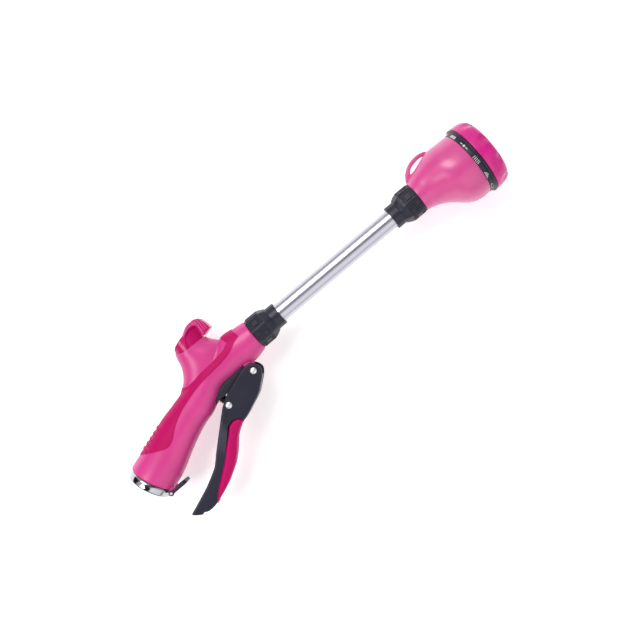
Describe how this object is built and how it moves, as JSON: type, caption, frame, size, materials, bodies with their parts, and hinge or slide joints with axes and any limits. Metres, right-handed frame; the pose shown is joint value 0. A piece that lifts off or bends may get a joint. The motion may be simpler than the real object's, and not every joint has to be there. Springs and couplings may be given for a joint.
{
  "type": "garden watering wand",
  "caption": "Garden watering wand: a hose inlet and squeeze valve in a bent handle, a rotary flow knob, a straight metal tube and a bell head with a turning pattern dial.",
  "frame": {"origin": "centre of the hose inlet's mouth", "axes": "+X along the tube towards the spray head, +Y towards the thumb knob's side, +Z out of one flank, so the wand's plane of symmetry is Z = 0 and the wand is stored lying on its flank"},
  "size_m": [0.3959, 0.1284, 0.0624],
  "materials": {
    "pink_body": "satin, faint moulded grain",
    "magenta_soft": "soft satin overmould",
    "magenta_gloss": "glossy moulded plastic",
    "black_plastic": "satin moulded plastic, fine grain",
    "chrome_ring": "polished plating",
    "tube_metal": "satin drawn tube",
    "rivet_steel": "polished rivet heads",
    "spring_steel": "drawn wire",
    "valve_brass": "turned brass",
    "seal_rubber": "moulded rubber",
    "inner_plastic": "natural moulded plastic",
    "screen_steel": "perforated stainless sheet"
  },
  "bodies": {
    "handle": {"handle_body": "pink_body", "palm_pad": "magenta_soft", "inlet_ring": "chrome_ring", "hose_washer": "seal_rubber", "filter_screen": "screen_steel", "latch_pin": "rivet_steel", "gland_nut": "valve_brass", "stem_o_ring": "seal_rubber", "valve_seat": "valve_brass", "valve_spring": "spring_steel", "spindle_bush": "black_plastic", "lower_nut": "black_plastic", "lower_collet": "inner_plastic", "lower_o_ring": "seal_rubber", "wand_tube": "tube_metal", "upper_nut": "black_plastic", "upper_collet": "inner_plastic", "upper_o_ring": "seal_rubber", "head_bell": "pink_body", "manifold_plate": "inner_plastic", "port_seal": "seal_rubber", "index_band": "black_plastic", "dial_screw": "rivet_steel", "detent_ball": "rivet_steel", "detent_spring": "spring_steel", "trigger_pivot_pin": "rivet_steel"},
    "trigger": {"trigger_lever": "black_plastic", "trigger_grip": "magenta_soft", "push_pin": "rivet_steel"},
    "plunger": {"valve_plunger": "valve_brass", "valve_seal": "seal_rubber"},
    "flow_knob": {"thumb_knob": "magenta_gloss", "knob_screw": "rivet_steel", "flow_spindle": "inner_plastic", "spindle_o_ring": "seal_rubber"},
    "dial": {"dial_ring": "magenta_gloss", "spray_face": "black_plastic"},
    "latch": {"latch_loop": "black_plastic"}
  },
  "joints": [
    {"name": "trigger_squeeze", "type": "hinge", "parent": "handle", "child": "trigger", "pos_m": [0.1279, 0.0176, 0], "axis": [0, 0, -1], "range_deg": [0, 8.5], "stiffness_Nm_per_rad": 3, "springref_deg": -6.88},
    {"name": "plunger_slide", "type": "slide", "parent": "handle", "child": "plunger", "axis": [-0.251, 0.968, 0], "range_m": [0, 0.0052], "deforming": ["valve_spring"]},
    {"name": "knob_turn", "type": "hinge", "parent": "handle", "child": "flow_knob", "pos_m": [0.1003, 0.068, 0], "axis": [0, 1, 0], "range_deg": [0, 70]},
    {"name": "dial_turn", "type": "hinge", "parent": "handle", "child": "dial", "pos_m": [0.38, 0.034, 0], "axis": [1, 0, 0], "continuous": true},
    {"name": "latch_swing", "type": "hinge", "parent": "handle", "child": "latch", "pos_m": [0.0132, -0.0157, 0], "axis": [0, 0, -1], "range_deg": [0, 150]}
  ],
  "couplings": [
    {"joint": "plunger_slide", "follows": "trigger_squeeze", "m_per_rad": 0.03417}
  ]
}
